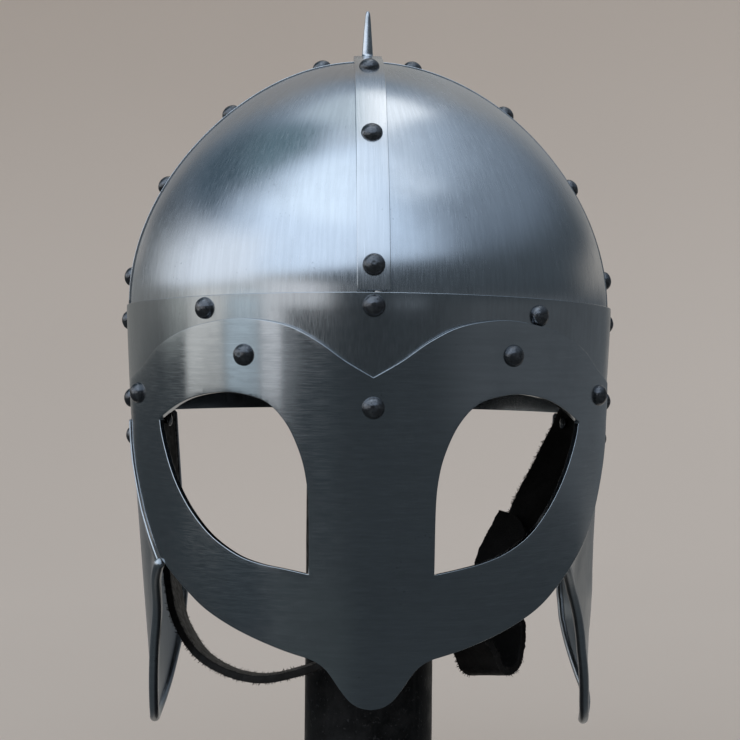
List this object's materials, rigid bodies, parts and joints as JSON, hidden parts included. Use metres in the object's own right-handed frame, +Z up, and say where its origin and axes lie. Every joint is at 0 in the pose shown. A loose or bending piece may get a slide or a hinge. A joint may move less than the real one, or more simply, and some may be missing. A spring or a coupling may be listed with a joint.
{
  "type": "spectacle helmet on a post stand",
  "caption": "Round riveted steel helmet with a spectacle face guard, hung cheek plates, a small crown spike and a leather chin strap, on a round post stand.",
  "frame": {"origin": "middle of the object's footprint box, on the underside of the stand's base", "axes": "+Z up, the face looks along -Y, +X is the right-hand side of someone who looks at the face"},
  "size_m": [0.2174, 0.2469, 0.3771],
  "materials": {
    "bowl_steel": "satin steel with a fine upright brushing",
    "band_steel": "satin steel with brighter cut edges",
    "brow_steel": "warm grey, slightly uneven satin steel",
    "guard_steel": "brushed dark steel with bright cut edges",
    "cheek_steel": "satin steel with darker rolled edges",
    "spike_steel": "polished steel",
    "rivet_steel": "blackened steel, polished by wear",
    "leather": "black leather with rough cut edges",
    "buckle_iron": "dark wire",
    "stand_iron": "dark weathered iron"
  },
  "bodies": {
    "root": {"bowl_plate_back_left": "bowl_steel", "bowl_plate_back_right": "bowl_steel", "bowl_plate_front_left": "bowl_steel", "bowl_plate_front_right": "bowl_steel", "brow_band": "brow_steel", "cheek_plate_left": "cheek_steel", "cheek_plate_right": "cheek_steel", "chin_strap_long": "leather", "chin_strap_short": "leather", "crest_band": "band_steel", "cross_band": "band_steel", "crown_spike": "spike_steel", "hinge_tab_left": "leather", "hinge_tab_right": "leather", "rivet_brow_1": "rivet_steel", "rivet_brow_2": "rivet_steel", "rivet_brow_3": "rivet_steel", "rivet_brow_4": "rivet_steel", "rivet_brow_5": "rivet_steel", "rivet_brow_6": "rivet_steel", "rivet_brow_7": "rivet_steel", "rivet_brow_8": "rivet_steel", "rivet_crest_back_1": "rivet_steel", "rivet_crest_back_2": "rivet_steel", "rivet_crest_back_3": "rivet_steel", "rivet_crest_front_1": "rivet_steel", "rivet_crest_front_2": "rivet_steel", "rivet_crest_front_3": "rivet_steel", "rivet_cross_left_1": "rivet_steel", "rivet_cross_left_2": "rivet_steel", "rivet_cross_left_3": "rivet_steel", "rivet_cross_left_4": "rivet_steel", "rivet_cross_right_1": "rivet_steel", "rivet_cross_right_2": "rivet_steel", "rivet_cross_right_3": "rivet_steel", "rivet_cross_right_4": "rivet_steel", "rivet_guard_1": "rivet_steel", "rivet_guard_2": "rivet_steel", "rivet_guard_3": "rivet_steel", "rivet_guard_4": "rivet_steel", "rivet_guard_5": "rivet_steel", "rivet_hinge_left_brow": "rivet_steel", "rivet_hinge_left_cheek": "rivet_steel", "rivet_hinge_right_brow": "rivet_steel", "rivet_hinge_right_cheek": "rivet_steel", "rivet_strap_left_brow": "rivet_steel", "rivet_strap_left_cheek": "rivet_steel", "rivet_strap_right_brow": "rivet_steel", "rivet_strap_right_cheek": "rivet_steel", "spectacle_guard": "guard_steel", "stand_base": "stand_iron", "stand_post": "stand_iron", "strap_buckle": "buckle_iron"}
  },
  "joints": []
}
